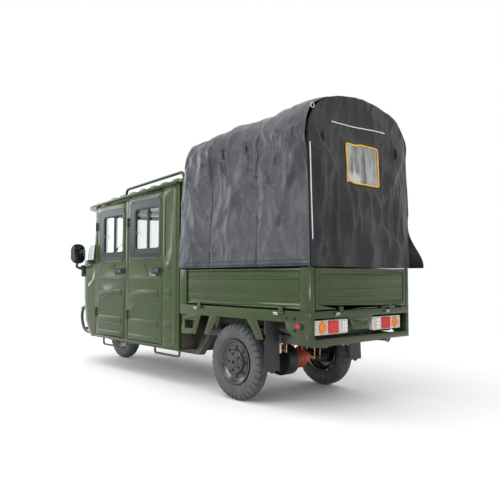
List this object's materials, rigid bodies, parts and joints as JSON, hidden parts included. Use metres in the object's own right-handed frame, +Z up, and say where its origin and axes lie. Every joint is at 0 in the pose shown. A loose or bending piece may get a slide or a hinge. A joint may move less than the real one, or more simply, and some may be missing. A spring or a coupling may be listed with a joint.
{
  "type": "electric cargo tricycle",
  "caption": "Three-wheeled electric cargo vehicle with a closed four-door cab, a drop-side cargo bed and a canvas canopy over the bed.",
  "frame": {"origin": "on the ground, in the middle of the overall length and width", "axes": "+X forward, +Y to the left, +Z up"},
  "size_m": [3.77, 1.44, 2.1864],
  "materials": {
    "olive_paint": "glossy olive green paint",
    "black_paint": "satin black paint",
    "zinc": "yellow zinc plated steel",
    "motor_red": "copper red paint",
    "case_black": "black cast housing",
    "rim_steel": "dark grey painted steel",
    "tyre": "matt black rubber",
    "rubber": "black rubber sheet",
    "canvas": "slate grey coated canvas",
    "seat_cover": "black vinyl",
    "glass": "clear glass",
    "lamp": "clear and coloured lamp plastic",
    "black_plastic": "black moulded plastic",
    "battery": "black battery casing"
  },
  "bodies": {
    "frame": {"battery_box": "battery", "bed_brackets": "olive_paint", "bed_floor": "olive_paint", "bed_hinges": "olive_paint", "bed_posts": "olive_paint", "bumper_guard": "black_paint", "cab_floor": "olive_paint", "cab_glass": "glass", "cab_nose": "olive_paint", "cab_pillars": "olive_paint", "cab_rear_wall": "olive_paint", "cab_roof": "olive_paint", "canopy_hoops": "black_paint", "canopy_top": "canvas", "canopy_walls": "canvas", "chassis_rails": "black_paint", "cross_members": "black_paint", "dashboard": "black_plastic", "drive_motor": "motor_red", "entry_steps": "black_paint", "head_tube": "black_paint", "headboard": "olive_paint", "headlamps": "lamp", "leaf_springs": "black_paint", "mirrors": "black_plastic", "mud_flaps": "rubber", "rear_axle": "case_black", "rear_frame": "olive_paint", "roof_rails": "olive_paint", "seat_boxes": "black_plastic", "seat_front": "seat_cover", "seat_rear": "seat_cover", "spring_clamps": "zinc", "tail_lamps": "lamp"},
    "steering": {"fork": "black_paint", "handlebar": "black_plastic", "front_fender": "black_paint"},
    "front_wheel": {"tyre_front": "tyre", "rim_front": "rim_steel"},
    "rear_left_wheel": {"tyre_rear_left": "tyre", "rim_rear_left": "rim_steel"},
    "rear_right_wheel": {"tyre_rear_right": "tyre", "rim_rear_right": "rim_steel"},
    "front_left_door": {"door_front_left": "olive_paint", "window_front_left": "glass"},
    "front_right_door": {"door_front_right": "olive_paint", "window_front_right": "glass"},
    "rear_left_door": {"door_rear_left": "olive_paint", "window_rear_left": "glass"},
    "rear_right_door": {"door_rear_right": "olive_paint", "window_rear_right": "glass"},
    "left_board": {"side_board_left": "olive_paint"},
    "right_board": {"side_board_right": "olive_paint"},
    "tail_board": {"tailgate": "olive_paint"}
  },
  "joints": [
    {"name": "front_steer", "type": "hinge", "parent": "frame", "child": "steering", "pos_m": [1.535, 0, 0.283], "axis": [-0.3746, 0, 0.9272], "range_deg": [-35, 35]},
    {"name": "front_wheel_spin", "type": "hinge", "parent": "steering", "child": "front_wheel", "pos_m": [1.535, 0, 0.283], "axis": [0, 1, 0], "continuous": true},
    {"name": "rear_left_wheel_spin", "type": "hinge", "parent": "frame", "child": "rear_left_wheel", "pos_m": [-1.065, 0.478, 0.283], "axis": [0, 1, 0], "continuous": true},
    {"name": "rear_right_wheel_spin", "type": "hinge", "parent": "frame", "child": "rear_right_wheel", "pos_m": [-1.065, -0.478, 0.283], "axis": [0, 1, 0], "continuous": true},
    {"name": "front_left_door_hinge", "type": "hinge", "parent": "frame", "child": "front_left_door", "pos_m": [1.1595, 0.559, 1], "axis": [0, 0, -1], "range_deg": [0, 65]},
    {"name": "front_right_door_hinge", "type": "hinge", "parent": "frame", "child": "front_right_door", "pos_m": [1.1595, -0.559, 1], "axis": [0, 0, 1], "range_deg": [0, 65]},
    {"name": "rear_left_door_hinge", "type": "hinge", "parent": "frame", "child": "rear_left_door", "pos_m": [0.5025, 0.559, 1], "axis": [0, 0, -1], "range_deg": [0, 65]},
    {"name": "rear_right_door_hinge", "type": "hinge", "parent": "frame", "child": "rear_right_door", "pos_m": [0.5025, -0.559, 1], "axis": [0, 0, 1], "range_deg": [0, 65]},
    {"name": "left_board_hinge", "type": "hinge", "parent": "frame", "child": "left_board", "pos_m": [-1.12, 0.562, 0.672], "axis": [-1, 0, 0], "range_deg": [0, 175]},
    {"name": "right_board_hinge", "type": "hinge", "parent": "frame", "child": "right_board", "pos_m": [-1.12, -0.562, 0.672], "axis": [1, 0, 0], "range_deg": [0, 175]},
    {"name": "tail_board_hinge", "type": "hinge", "parent": "frame", "child": "tail_board", "pos_m": [-1.877, 0, 0.672], "axis": [0, -1, 0], "range_deg": [0, 175]}
  ]
}
